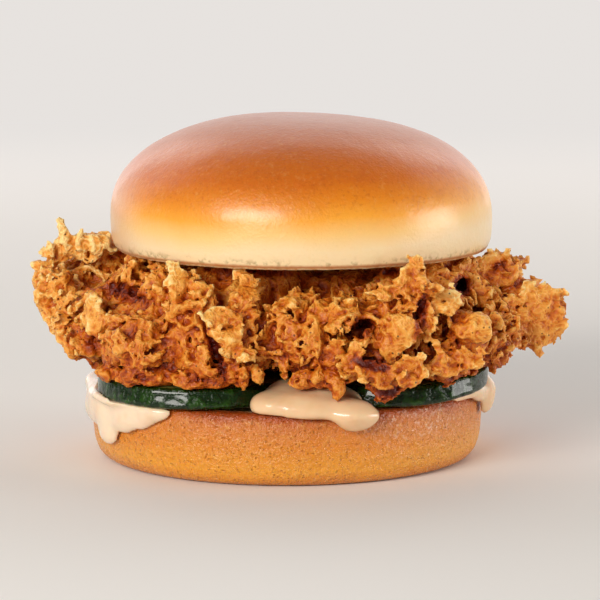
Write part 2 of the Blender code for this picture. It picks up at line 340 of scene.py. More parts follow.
def cad_copy(node, name):
    """A copy of a CAD node's mesh, with its loose triangles merged."""
    obj = bpy.data.objects.new(name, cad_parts[node].data.copy())
    bpy.context.scene.collection.objects.link(obj)
    only(obj)
    bpy.ops.object.mode_set(mode="EDIT")
    bpy.ops.mesh.select_all(action="SELECT")
    bpy.ops.mesh.remove_doubles(threshold=1e-6)
    bpy.ops.object.mode_set(mode="OBJECT")
    obj.data.materials.clear()
    return obj


def lathe(name, profile, steps):
    """A profile of (radius, z), from its top to its bottom on the axis, turned about Z."""
    bpy.ops.object.select_all(action="DESELECT")
    start = Vector((profile[0][0], 0, profile[0][1]))
    bpy.ops.mesh.primitive_plane_add(size=1 * MM, location=start)
    obj = bpy.context.object
    obj.name = name
    obj.data.name = name
    bpy.ops.object.transform_apply(location=True, rotation=True, scale=True)
    bpy.ops.object.mode_set(mode="EDIT")
    bpy.ops.mesh.merge(type="CENTER")
    here = start
    for radius, z in profile[1:]:
        there = Vector((radius, 0, z))
        bpy.ops.mesh.extrude_region_move(TRANSFORM_OT_translate={"value": there - here})
        here = there
    bpy.ops.object.mode_set(mode="OBJECT")
    turn = obj.modifiers.new("turn", "SCREW")
    turn.steps = turn.render_steps = steps
    turn.use_merge_vertices = True
    turn.merge_threshold = MERGE
    bake_modifiers(obj)
    bpy.ops.object.mode_set(mode="EDIT")
    bpy.ops.mesh.select_all(action="SELECT")
    bpy.ops.mesh.remove_doubles(threshold=MERGE)
    bpy.ops.mesh.normals_make_consistent(inside=False)
    bpy.ops.object.mode_set(mode="OBJECT")
    obj.data.materials.clear()
    return obj


def super_arc(width, height, fullness, steps):
    """A quarter of a superellipse as (x, z), from its top (0, height) to its side (width, 0)."""
    for step in range(steps + 1):
        angle = math.pi / 2 * step / steps
        across = width * math.sin(angle) ** (2 / fullness)
        up = height * math.cos(angle) ** (2 / fullness)
        yield across, up


def evenly(profile, spacing):
    """The same line with its points about spacing apart."""
    walked = [0.0]
    for (r0, z0), (r1, z1) in zip(profile, profile[1:]):
        walked.append(walked[-1] + math.hypot(r1 - r0, z1 - z0))
    count = max(2, round(walked[-1] / spacing))
    at = np.linspace(0, walked[-1], count + 1)
    radii = np.interp(at, walked, [r for r, _ in profile])
    heights = np.interp(at, walked, [z for _, z in profile])
    return list(zip(radii.tolist(), heights.tolist()))


def reshape(obj, move):
    """Moves each vertex of the object's mesh to move(its place)."""
    for vertex in obj.data.vertices:
        vertex.co = move(vertex.co.copy())
    obj.data.update()
    return obj


def geometry_tree(name):
    """An empty geometry tree with its way in, its way out and the place field."""
    tree = bpy.data.node_groups.new(name, "GeometryNodeTree")
    tree.interface.new_socket("Geometry", in_out="INPUT", socket_type="NodeSocketGeometry")
    tree.interface.new_socket("Geometry", in_out="OUTPUT", socket_type="NodeSocketGeometry")
    way_in = tree.nodes.new("NodeGroupInput").outputs[0]
    way_out = tree.nodes.new("NodeGroupOutput").inputs[0]
    place = Field(tree, tree.nodes.new("GeometryNodeInputPosition").outputs[0])
    return tree, way_in, way_out, place


def add_relief(obj, height):
    """Moves the skin along its normals by height(place), a field in metres."""
    tree, way_in, way_out, place = geometry_tree(obj.name + "_relief")
    normal = Field(tree, tree.nodes.new("GeometryNodeInputNormal").outputs[0])
    move = tree.nodes.new("GeometryNodeSetPosition")
    tree.links.new(way_in, move.inputs["Geometry"])
    feed(move.inputs["Offset"], vector("SCALE", normal, scale=height(place)))
    tree.links.new(move.outputs[0], way_out)
    obj.modifiers.new("relief", "NODES").node_group = tree
    return bake_modifiers(obj)


def finish_piece(obj, material, node, smooth=None):
    """Gives a piece its material and smooth shading, hangs it on the body, and hides the CAD node
    that it stands for.
    """
    obj.data.materials.clear()
    obj.data.materials.append(material)
    only(obj)
    if smooth is None:
        bpy.ops.object.shade_smooth()
    else:
        bpy.ops.object.shade_smooth_by_angle(angle=math.radians(smooth))
    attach(obj, BODY)
    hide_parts(node)
    return obj


# Finishes -----------------------------------------------------------------------------------


class Finish:
    """A material with the places that its recipe reads."""

    def __init__(self, name):
        self.material = bpy.data.materials.new(name)
        self.material.use_nodes = True
        self.tree = self.material.node_tree
        self.shader = self.tree.nodes["Principled BSDF"]
        source = self.tree.nodes.new("ShaderNodeTexCoord")
        self.place = Field(self.tree, source.outputs["Object"])

    def attribute(self, name):
        """A value that the mesh carries at its points."""
        node = self.tree.nodes.new("ShaderNodeAttribute")
        node.attribute_name = name
        return Field(self.tree, node.outputs["Fac"])

    def normal(self):
        """The way that the surface faces."""
        node = self.tree.nodes.new("ShaderNodeNewGeometry")
        return Field(self.tree, node.outputs["Normal"])

    def mix(self, factor, first, second):
        """The first colour where factor is 0, and the second where it is 1."""
        node = self.tree.nodes.new("ShaderNodeMix")
        node.data_type = "RGBA"
        node.clamp_factor = True
        feed(node.inputs[0], factor)
        for socket, value in ((node.inputs[6], first), (node.inputs[7], second)):
            feed(socket, value if isinstance(value, Field) else (*value, 1.0))
        return Field(self.tree, node.outputs[2])

    def ramp(self, factor, stops):
        """Colours at their places along factor, from 0 to 1."""
        node = self.tree.nodes.new("ShaderNodeValToRGB")
        band = node.color_ramp.elements
        while len(band) < len(stops):
            band.new(0.5)
        for element, (at, tint) in zip(band, stops):
            element.position = at
            element.color = (*tint, 1.0)
        feed(node.inputs[0], factor)
        return Field(self.tree, node.outputs[0])

    def bump(self, height):
        """Tilts the shading as a surface of that height in metres would be."""
        node = self.tree.nodes.new("ShaderNodeBump")
        node.inputs["Strength"].default_value = 1.0
        node.inputs["Distance"].default_value = 1.0
        feed(node.inputs["Height"], height)
        feed(self.shader.inputs["Normal"], Field(self.tree, node.outputs[0]))

    def set(self, **values):
        """Sets or links the shader's inputs, named with _ for a space."""
        for name, value in values.items():
            feed(self.shader.inputs[name.replace("_", " ")], value)


def plain(value):
    """A colour setting as a plain colour."""
    return tuple(value)


def crown_finish(bun):
    """Glazed crust, browned at the top, with a pale rim, a toasted line at the cut, and a painted
    sheen on its left side.
    """
    coat = Finish("crown_crust")
    x, _, z = axes(coat.place)
    height = (z - bun.crown_z) * (1 / bun.crown_height)
    drift = cloud(coat.place, 26 * MM, 2.0, 0.5) * 0.16
    # paler towards both sides, and more so at the right: in part thinner browning and in part
    # painted sheen at the sides
    level = height + drift - x * 0.7 - x * x * 24.0
    tint = coat.ramp(
        level,
        (
            (0.00, plain(bun.pale)),
            (0.12, plain(bun.pale)),
            (0.24, srgb(238, 190, 112)),
            (0.35, plain(bun.golden)),
            (0.47, srgb(222, 130, 10)),
            (0.60, plain(bun.baked)),
            (1.00, srgb(190, 94, 10)),
        ),
    )
    brown = height.step(0.28, 0.55)
    blotch = cloud(coat.place, 6 * MM, 4.0, 0.62, (1, 2, 3))
    tint = coat.mix(blotch.step(0.0, 0.34) * brown * 0.4, tint, srgb(168, 72, 8))
    speck = cloud(coat.place, 0.9 * MM, 2.0, 0.7, (4, 2, 3))
    tint = coat.mix(speck.step(0.04, 0.26) * brown * 0.12, tint, srgb(236, 168, 92))
    grain = cloud(coat.place, 1.1 * MM, 3.0, 0.7, (14, 2, 3))
    tint = coat.mix(grain.step(0.0, 0.22) * brown * 0.4, tint, srgb(172, 78, 4))
    mottle = cloud(coat.place, 1.6 * MM, 3.0, 0.65, (9, 2, 3))
    tint = coat.mix(mottle.step(0.02, 0.3) * 0.16, tint, srgb(238, 196, 120))
    # small greenish grey creases and pits close to the cut
    crease = cloud(coat.place, 2.2 * MM, 2.0, 0.6, (7, 7, 1))
    low = height.step(0.15, 0.03)
    tint = coat.mix(crease.step(0.08, 0.26) * low * 0.4, tint, srgb(198, 160, 98))
    pinched = (height + crease * 0.05 + mottle * 0.04).step(0.10, 0.05) * crease.step(-0.02, 0.16)
    tint = coat.mix(pinched * 0.55, tint, srgb(140, 112, 62))
    cut = (height + crease * 0.016).step(0.046, 0.020)
    tint = coat.mix(cut * 0.92, tint, plain(bun.toasted))
    # painted sheen: a pale pinkish grey laid over the left side, standing in for the grazing
    # reflection of a bright light there
    left_end = x.step(-41 * MM, -51 * MM) * height.step(0.95, 0.5)
    tint = coat.mix(left_end * 0.45, tint, srgb(206, 160, 136))
    under = axes(coat.normal())[2].step(-0.6, -0.9)
    pores = cloud(coat.place, 1.3 * MM, 3.0, 0.6, (2, 4, 4))
    crumb = coat.mix(pores.step(-0.1, 0.2), plain(bun.crumb), srgb(206, 150, 86))
    tint = coat.mix(under, tint, crumb)
    coat.set(Base_Color=tint)
    coat.set(Roughness=under * 0.4 + (0.40 + 0.12 * blotch) + speck * 0.12)
    coat.set(Coat_Weight=0.45, Coat_Roughness=0.23, Specular_IOR_Level=0.45)
    coat.set(Subsurface_Weight=0.10, Subsurface_Scale=0.004)
    fine = cloud(coat.place, 0.7 * MM, 2.0, 0.6, (3, 1, 5))
    skin = cloud(coat.place, 2.4 * MM, 3.0, 0.6, (6, 1, 5))
    coat.bump(fine * (0.13 * MM) + skin * (0.20 * MM) + pores * under * (0.5 * MM))
    return coat.material


def heel_finish(bun):
    """Tan, open-pored crust, browner near the rim, with toasted crumb on the cut face and painted
    glints at its front right.
    """
    side = Finish("heel_crust")
    x, y, z = axes(side.place)
    height = z * (1 / bun.heel_height)
    drift = cloud(side.place, 18 * MM, 2.0, 0.5, (2, 2, 2)) * 0.3
    tint = side.ramp(
        height + drift,
        (
            (0.00, srgb(210, 128, 44)),
            (0.20, srgb(234, 158, 44)),
            (0.52, plain(bun.tan)),
            (0.80, srgb(206, 118, 38)),
            (0.97, srgb(176, 80, 24)),
        ),
    )
    # fine uneven pores, some of them open
    flat = vector("MULTIPLY", wavy(side.place, 1.5 * MM, 1.2 * MM), (1, 1, 1.25))
    _, distance, chance = cells(flat, 0.95 * MM, (3, 3, 3))
    open_pore = distance.step(0.42 * MM, 0.08 * MM) * axes(chance)[0].step(-0.2, 0.4)
    pore = cloud(side.place, 0.75 * MM, 3.0, 0.7, (5, 1, 2))
    bright = cloud(side.place, 1.5 * MM, 3.0, 0.65, (9, 1, 2))
    tint = side.mix(bright.step(0.0, 0.26) * 0.4, tint, srgb(248, 188, 98))
    tint = side.mix(pore.step(0.0, 0.24) * 0.5, tint, srgb(186, 92, 24))
    tint = side.mix(open_pore * 0.26, tint, srgb(166, 80, 18))
    # painted highlight: pale flecks at the front right stand in for glints of the lamp on the
    # right
    patch = x.step(12 * MM, 26 * MM) * x.step(50 * MM, 38 * MM) * y.step(-20 * MM, -34 * MM)
    patch = patch * (height + drift * 0.5).step(0.45, 0.68)
    fleck = cloud(side.place, 1.0 * MM, 2.0, 0.6, (8, 3, 2))
    tint = side.mix(fleck.step(0.03, 0.2) * patch * 0.62, tint, srgb(246, 206, 180))
    burnt = (height + bright * 0.14 + drift * 0.5).step(0.88, 1.0)
    tint = side.mix(burnt * 0.7, tint, srgb(146, 56, 14))
    reach = ((x - bun.heel_x) * (x - bun.heel_x) + y * y).op("SQRT")
    inner = reach.step(bun.heel_radius - 4 * MM, bun.heel_radius - 7 * MM)
    top = axes(side.normal())[2].step(0.75, 0.95) * inner
    holes = cloud(side.place, 1.5 * MM, 3.0, 0.6, (2, 8, 4))
    crumb = side.mix(holes.step(-0.1, 0.2), plain(bun.crumb), srgb(204, 144, 78))
    tint = side.mix(top, tint, crumb)
    side.set(Base_Color=tint)
    side.set(Roughness=open_pore * 0.2 + 0.26 + pore * 0.2 + top * 0.3)
    side.set(Specular_IOR_Level=0.62)
    side.set(Subsurface_Weight=0.08, Subsurface_Scale=0.003)
    relief = bright * (0.62 * MM) - pore * (0.32 * MM) - open_pore * (0.30 * MM)
    side.bump(relief + holes * top * (0.6 * MM))
    return side.material


def crust_finish(look):
    """Fried batter: golden on its faces, pale at its edges, dark red brown in its hollows; the
    lighter ridges and tops and the darker hollows and low parts are partly browning and partly
    painted light and shade.
    """
    fried = Finish("fried_crust")
    x, _, height = axes(fried.place)
    # fine, broad and depth say how far a point stands out or lies deep; with them the colour
    # paints shade into the crust's recesses
    fine = fried.attribute("fine")
    broad = fried.attribute("broad")
    depth = fried.attribute("depth")
    # dark: the marked hollows, painted darker as painted shade inside them
    dark = fried.attribute("dark").step(-0.45, 0.25)
    patch = cloud(fried.place, 9 * MM, 2.0, 0.5, (1, 5, 2))
    speckle = cloud(fried.place, 1.1 * MM, 2.0, 0.6, (8, 5, 2))
    wrinkle = abs(cloud(wavy(fried.place, 3 * MM, 2 * MM), 1.8 * MM, 1.0, 0.6, (3, 9, 8)))
    # the colour follows the relief: raised and high places lighter, sunk ones darker, in part
    # browning and in part painted shade and painted light from above
    raised = broad * 0.34 + fine * 0.9 + patch * 0.34 + speckle * 0.22 - depth * 55.0
    raised = raised + (0.075 - wrinkle) * 2.2
    # low: painted shade on the lowest part, where the crust hangs over the pickles
    low = height.step(36 * MM, 25 * MM)
    outer = x.step(-46 * MM, -64 * MM)
    raised = raised + (height - 0.040) * 6.0 - dark * 0.9 - low * 0.40 + outer * 0.24
    tint = fried.ramp(
        raised * 0.54 + 0.51,
        (
            (0.00, plain(look.crevice)),
            (0.24, plain(look.deep)),
            (0.46, srgb(194, 94, 10)),
            (0.60, plain(look.plate)),
            (0.82, plain(look.ridge)),
            (1.00, plain(look.rim)),
        ),
    )
    _, distance, chance = cells(fried.place, 1.5 * MM, (6, 6, 6))
    # more pepper on the wide flake at the right end
    chosen = axes(chance)[0] + x.step(50 * MM, 58 * MM) * 0.22
    peppered = distance.step(0.34 * MM, 0.2 * MM) * chosen.step(0.30, 0.34)
    tint = fried.mix(peppered * 0.8, tint, plain(look.pepper))
    fried.set(Base_Color=tint)
    fried.set(Roughness=0.44 + speckle * 0.3)
    fried.set(Specular_IOR_Level=0.35, Coat_Weight=0.06, Coat_Roughness=0.25)
    fried.set(Subsurface_Weight=0.08, Subsurface_Scale=0.0015)
    grit = cloud(fried.place, 0.8 * MM, 2.0, 0.6, (3, 3, 8))
    fried.bump(grit * (0.3 * MM) + speckle * (0.15 * MM) - wrinkle * (1.3 * MM))
    return fried.material


def pickle_finish(look):
    """Wet dark skin with paler streaks, and glassy flesh with seeds on the cut faces."""
    slice_ = Finish("pickle")
    rim = slice_.attribute("rim")
    streak = cloud(slice_.place, 3 * MM, 2.0, 0.6, (4, 4, 1))
    wart = cloud(slice_.place, 1.0 * MM, 2.0, 0.6, (4, 9, 1))
    skin = slice_.mix(streak.step(-0.05, 0.3), plain(look.skin), plain(look.skin_light))
    skin = slice_.mix(wart.step(0.18, 0.34) * 0.35, skin, srgb(110, 124, 60))
    flesh = slice_.mix(rim.step(0.85, 0.35), plain(look.flesh), plain(look.heart))
    _, distance, _ = cells(slice_.place, 3.2 * MM, (2, 1, 1))
    seed = distance.step(1.15 * MM, 0.85 * MM) * rim.step(0.20, 0.30) * rim.step(0.66, 0.56)
    flesh = slice_.mix(seed * 0.8, flesh, srgb(222, 212, 150))
    flesh = slice_.mix(streak.step(0.0, 0.4) * 0.4, flesh, srgb(108, 116, 46))
    tint = slice_.mix(rim.step(0.955, 0.972), flesh, skin)
    wet = rim.step(0.93, 0.97)
    slice_.set(Base_Color=tint, Roughness=0.5 - wet * 0.28 + wart * 0.25)
    slice_.set(Coat_Weight=0.55, Coat_Roughness=0.08, Specular_IOR_Level=0.15)
    slice_.set(Subsurface_Weight=0.15, Subsurface_Scale=0.002)
    slice_.bump(wart * (0.25 * MM) + streak * (1.5 * MM) + seed * (0.2 * MM))
    return slice_.material


def sauce_finish(look):
    """Glossy creamy sauce, paler at the left end, with a few herb specks."""
    cream = Finish("creamy_sauce")
    swirl = cloud(cream.place, 7 * MM, 2.0, 0.5, (1, 1, 7))
    left = axes(cream.place)[0].step(-22 * MM, -40 * MM)
    body = cream.mix(left * 0.6, plain(look.tint), srgb(246, 230, 206))
    tint = cream.mix(swirl.step(0.0, 0.35) * 0.5, body, plain(look.thin))
    _, distance, chance = cells(cream.place, 2.4 * MM, (4, 6, 8))
    herb = distance.step(0.3 * MM, 0.16 * MM) * axes(chance)[1].step(0.24, 0.27)
    tint = cream.mix(herb * 0.45, tint, srgb(176, 96, 40))
    cream.set(Base_Color=tint, Roughness=0.24 + swirl * 0.1)
    cream.set(Coat_Weight=0.5, Coat_Roughness=0.08, Specular_IOR_Level=0.4)
    cream.set(Subsurface_Weight=0.2, Subsurface_Scale=0.002)
    fine = cloud(cream.place, 2.2 * MM, 1.0, 0.5, (1, 3, 7))
    cream.bump(fine * (0.12 * MM))
    return cream.material


def floor_finish(look):
    """Pale card that turns into the glow of the surroundings further out."""
    card = Finish("pale_floor")
    grain = cloud(card.place, 0.4, 1.0, 0.5)
    tint = card.mix(grain.step(-0.4, 0.4) * 0.15, plain(look.floor), srgb(232, 231, 229))
    far = vector("LENGTH", card.place).step(0.55, 1.15)
    card.set(Base_Color=card.mix(far, tint, (0.0, 0.0, 0.0)), Roughness=0.9)
    card.set(Specular_IOR_Level=0.0, Emission_Strength=far * BACKDROP)
    card.shader.inputs["Emission Color"].default_value = (*look.sky, 1.0)
    return card.material


# The crust's field --------------------------------------------------------------------------

# Hollows eaten into the crust: centre and half axes in millimetres, turn in degrees.
# The crust's finish also paints the inside of each hollow darker, as painted shade.
HOLLOWS = (
    ((-57.6, -22, 52.8), (6.6, 16, 4.2), (-8, 6, 0)),  # the cup at the left end
    ((-50.4, -34, 50.4), (9.0, 13, 2.7), (-8, 16, 0)),  # between the left lip and the crown
    ((-55, -30, 35.0), (2.8, 4.5, 4.6), (0, 12, 20)),  # under the left flap
    ((-22.5, -52, 37.5), (1.5, 6.0, 9.0), (0, -20, 0)),  # the long crevice left of the middle
    ((16, -51, 42.3), (3.1, 7.5, 2.7), (0, 0, 0)),  # the cave
    ((18.5, -57, 33.6), (4.4, 5.5, 1.4), (0, 14, 0)),  # the slit under the curved shell
    ((23, -56, 25.6), (2.8, 5.5, 1.6), (0, -8, 0)),  # inside the lowest curl
    ((31.3, -52, 45.5), (1.5, 6.5, 6.2), (0, 12, 0)),  # the crevice right of the shell
    ((43.4, -33, 50.8), (2.6, 18, 2.7), (-8, 0, 0)),  # the gap under the crown's right edge
    ((54.5, -20, 54.0), (2.8, 5, 2.0), (0, 0, 0)),  # inside the right curl
    ((2, -34, 55.0), (22, 7, 2.4), (0, 0, 0)),  # the shadow under the crown's front
)
# Flakes given one by one: centre and half sides in millimetres, turn in degrees, bend per metre.
# Turned by (90, 0, 0) a flake faces the front, with its first side across.
LEAVES = (
    ((-61.5, -2.5, 57.2), (9.0, 3.6), (84, -4, 0), 14),  # the thin wall behind the cup
    ((30.2, -50.5, 55.0), (3.6, 5.8), (84, -8, 4), 12),  # the tall pale flake
    ((23.4, -51, 52.2), (5.6, 2.5), (76, -14, -6), 20),  # and its low wing
    ((62.8, -20.6, 40.4), (9.4, 9.2), (90, 24, 8), 10),  # the wide flake at the right end
    ((24.2, -55.0, 40.2), (5.0, 7.2), (94, 34, -16), 44),  # the curved shell
    ((14.9, -56.2, 37.6), (2.0, 3.9), (84, 10, -12), 30),  # the leaf before the cave
    ((13.2, -56.0, 33.5), (3.0, 3.6), (70, 30, -20), -50),  # the low curl, left side
    ((20.0, -57.0, 30.2), (6.6, 3.0), (62, 12, 0), -46),  # its middle
    ((28.6, -56.0, 31.6), (5.0, 3.2), (74, -32, 14), -40),  # its right side
    ((38.0, -48.0, 48.6), (3.7, 4.2), (80, 0, 12), 46),  # the lobe right of the crevice
    ((33.6, -50.8, 44.0), (2.4, 5.2), (90, -14, -24), 50),  # the fold under it
    ((39.6, -50.0, 32.4), (9.0, 3.0), (70, -8, 10), -26),  # the long low lip
    ((52.6, -14.0, 52.2), (6.8, 5.4), (80, -20, 14), -50),  # the curl against the crown
    ((-20.4, -54.0, 45.4), (5.0, 2.4), (66, 8, 8), -50),  # three stacked curls
    ((-19.0, -55.0, 41.0), (4.8, 2.3), (66, 12, 6), -50),
    ((-15.6, -55.6, 36.6), (4.4, 2.2), (64, 16, 0), -50),
    ((-55.2, -32.0, 42.0), (4.2, 6.2), (82, -14, -30), 44),  # the flap at the left
    ((-38.5, -34.0, 51.6), (3.2, 4.6), (72, 10, -10), 30),  # the thin flake in the recess
    ((-30.6, -44.0, 50.0), (2.8, 7.4), (92, -8, 30), 60),  # the first ridge
    ((-25.2, -45.6, 49.0), (2.4, 7.0), (86, -34, -20), 60),  # the second ridge
    ((-14.6, -47.0, 49.5), (3.0, 6.8), (88, 6, 20), 70),  # the third ridge
)
# Spikes and nubs: centre and half axes in millimetres, turn in degrees.
NUBS = (
    ((-65.0, -3.0, 60.3), (1.4, 1.2, 4.8), (0, -16, 0)),  # the cup's highest spike
    ((-61.0, -3.0, 58.4), (1.4, 1.2, 3.6), (0, 8, 0)),
    ((-68.6, -4.0, 56.6), (1.5, 1.2, 2.8), (0, -12, 0)),
    ((-57.2, -2.5, 57.4), (1.6, 1.2, 3.2), (0, 10, 0)),
    ((-52.6, 2.0, 57.6), (2.0, 1.6, 3.4), (0, 24, 0)),
    ((-71.6, -5, 52.0), (2.4, 1.6, 1.5), (0, 16, 0)),
    ((-17.8, -50.6, 29.8), (1.6, 1.8, 3.0), (0, 14, 0)),  # fingers over the left pickle
    ((-14.4, -51.0, 29.2), (1.5, 1.8, 3.2), (0, 0, 0)),
    ((-11.2, -51.2, 29.6), (1.5, 1.7, 2.8), (0, -16, 0)),
    ((0.5, -52.4, 29.0), (3.0, 2.6, 2.8), (0, 0, 0)),  # the cluster over the sauce
    ((4.6, -52.6, 29.4), (2.0, 2.2, 2.6), (0, 0, 0)),
    ((9.6, -53.6, 27.4), (2.3, 2.2, 4.0), (0, -24, 0)),
    ((46.6, -46.0, 41.4), (4.2, 3.8, 3.8), (0, 0, 0)),  # the round lump at the right
    ((70.6, -19.4, 46.6), (2.6, 1.2, 1.2), (0, 14, 0)),  # points of the wide flake
    ((70.2, -19.4, 42.8), (2.2, 1.1, 1.1), (0, -10, 0)),
    ((64.6, -20.6, 31.6), (1.4, 1.1, 2.4), (0, -16, 0)),
    ((-49.5, -34.5, 27.6), (5.0, 4.5, 2.2), (0, 4, 40)),  # the skirt over the pickles
    ((-43.5, -40.0, 27.4), (5.5, 4.0, 2.2), (0, 2, 30)),
    ((-36.5, -43.8, 27.3), (5.5, 3.6, 2.2), (0, 0, 16)),
    ((-28.5, -46.0, 27.3), (5.5, 3.4, 2.2), (0, 0, 6)),
    ((-21.0, -46.6, 27.6), (4.0, 3.2, 2.2), (0, 0, 0)),
    ((0, 13, 25.8), (38, 9.0, 5.2), (0, 0, 0)),  # the belly that sags behind the pickles
    ((-51, -6, 41), (8.5, 10, 7.0), (0, 0, 0)),  # the floor of the cup
)
# Round holes right through the thin flakes, or deep into the nubs.
PITS = (
    ((31.4, -51, 57.0), (0.8, 4, 0.8), (0, 0, 0)),
    ((2.2, -55, 28.4), (0.7, 2.2, 0.7), (0, 0, 0)),
    ((4.9, -55, 27.6), (0.8, 2.2, 0.8), (0, 0, 0)),
    ((-0.4, -55, 28.8), (0.6, 2.2, 0.6), (0, 0, 0)),
    ((18.6, -60, 29.6), (0.9, 2.6, 0.9), (0, 0, 0)),
    ((58.4, -22, 43.4), (0.7, 1.6, 0.6), (0, 0, 0)),
    ((61.8, -22, 38.8), (0.6, 1.6, 0.8), (0, 0, 0)),
    ((66.6, -22, 42.4), (0.8, 1.6, 0.6), (0, 0, 0)),
    ((60.4, -22, 35.0), (0.6, 1.6, 0.6), (0, 0, 0)),
    ((67.4, -22, 37.6), (0.6, 1.6, 0.7), (0, 0, 0)),
)
# Loose flakes, from large to small: spacing and radius in shares of the flake setting, bend per
# metre, thickness, distance in from the edge and rounding in millimetres, and the pattern's shift.
PLATES = (
    (1.0, 0.58, 70.0, 1.3, 0.4, 0.6, (1, 1, 1)),
    (0.6, 0.38, -110.0, 1.15, 0.8, 0.5, (11, 3, 7)),
    (0.36, 0.25, 160.0, 1.0, 1.2, 0.4, (21, 13, 17)),
)
HALF_LENGTH, HALF_DEPTH = 0.074, 0.057  # of the fillet
# The quarters: name, and whether each lies to the right of the middle and behind it.
QUARTERS = (
    ("crust_front_left", False, False),
    ("crust_front_right", True, False),
    ("crust_back_left", False, True),
    ("crust_back_right", True, True),
)


def inside(place, target):
    """How deep a place lies in a closed mesh: positive inside it and negative outside."""
    tree = place.tree
    near = tree.nodes.new("GeometryNodeProximity")
    near.target_element = "FACES"
    tree.links.new(target, near.inputs[0])
    feed(near.inputs["Sample Position"], place)
    ray = tree.nodes.new("GeometryNodeRaycast")
    tree.links.new(target, ray.inputs["Target Geometry"])
    feed(ray.inputs["Source Position"], place)
    ray.inputs["Ray Direction"].default_value = (0, 0, 1)
    ray.inputs["Ray Length"].default_value = 1.0
    leaving = vector("DOT_PRODUCT", Field(tree, ray.outputs["Hit Normal"]), (0, 0, 1))
    hit = Field(tree, ray.outputs["Is Hit"])
    sign = leaving.op("GREATER_THAN", 0.0) * hit * 2.0 - 1.0
    return Field(tree, near.outputs["Distance"]) * sign


def seen_from(place, centre, half, turn):
    """The place as seen by a piece at centre, turned by degrees, in shares of its half sides."""
    tree = place.tree
    stand = tree.nodes.new("FunctionNodeCombineTransform")
    stand.inputs["Translation"].default_value = [part * MM for part in centre]
    stand.inputs["Rotation"].default_value = [math.radians(angle) for angle in turn]
    stand.inputs["Scale"].default_value = [part * MM for part in half]
    back = tree.nodes.new("FunctionNodeInvertMatrix")
    tree.links.new(stand.outputs[0], back.inputs[0])
    seen = tree.nodes.new("FunctionNodeTransformPoint")
    feed(seen.inputs["Vector"], place)
    tree.links.new(back.outputs[0], seen.inputs["Transform"])
    return Field(tree, seen.outputs[0])


def lump(place, centre, half, turn):
    """An ellipsoid, positive inside."""
    seen = seen_from(place, centre, half, turn)
    return (1.0 - vector("LENGTH", seen)) * (min(half) * MM)


def leaf(place, centre, half, turn, bend, thickness, ragged, ripple):
    """A bent oval plate with a ragged outline and a rippled face, positive inside."""
    wide, tall = half
    seen = seen_from(place, centre, (wide, tall, 1), turn)
    flat = vector("MULTIPLY", seen, (1, 1, 0))
    outline = (1.0 - vector("LENGTH", flat)) * (min(half) * MM) + ragged
    across, along, out = axes(seen)
    sag = across * across * (bend * (wide * MM) ** 2) + along * along * (bend * (tall * MM) ** 2)
    return (thickness - abs(out * MM + sag + ripple)).min(outline)


def loose_plates(place, size, bend, thickness, radius, shift):
    """A bent round plate in each cell of space, each turned its own way."""
    away, _, chance = cells(place, size, shift)
    axis = vector("NORMALIZE", chance)
    lift = vector("DOT_PRODUCT", away, axis) + vector("DOT_PRODUCT", away, away) * bend
    return (thickness / 2 - abs(lift)).min(radius - vector("LENGTH", away))


def clear_of_rest(place, burger):
    """How far a place lies outside the bun and the pickles: positive outside them."""
    x, _, z = axes(place)
    bun, thickness = burger.bun, burger.pickle.thickness

    def off_axis(across, along=0.0):
        """How far a place lies from the upright line there."""
        away = vector("SUBTRACT", place, (across, along, 0))
        return vector("LENGTH", vector("MULTIPLY", away, (1, 1, 0)))

    crown = (off_axis(bun.crown_x) - bun.crown_radius).max(bun.crown_z - z)
    heel = (off_axis(bun.heel_x) - bun.heel_radius * 1.01).max(z - bun.heel_height)
    clear = crown.min(heel)
    for radius, across, along, lift in SLICES.values():
        outwards = math.copysign(1 / radius, across)
        bent = ((x - across) * outwards).max(0.0)
        up = z - (bun.heel_height + GAP + thickness / 2) - bent * bent * lift
        clear = clear.min((off_axis(across, along) - radius * 1.02).max(abs(up) - thickness / 2))
    return clear


def within(features, low, high):
    """The features whose centres lie in the box from low to high, or close to it."""
    for feature in features:
        centre, half = feature[0], feature[1]
        reach = max(half) + 4
        if all(a / MM - reach < c < b / MM + reach for a, c, b in zip(low, centre, high)):
            yield feature


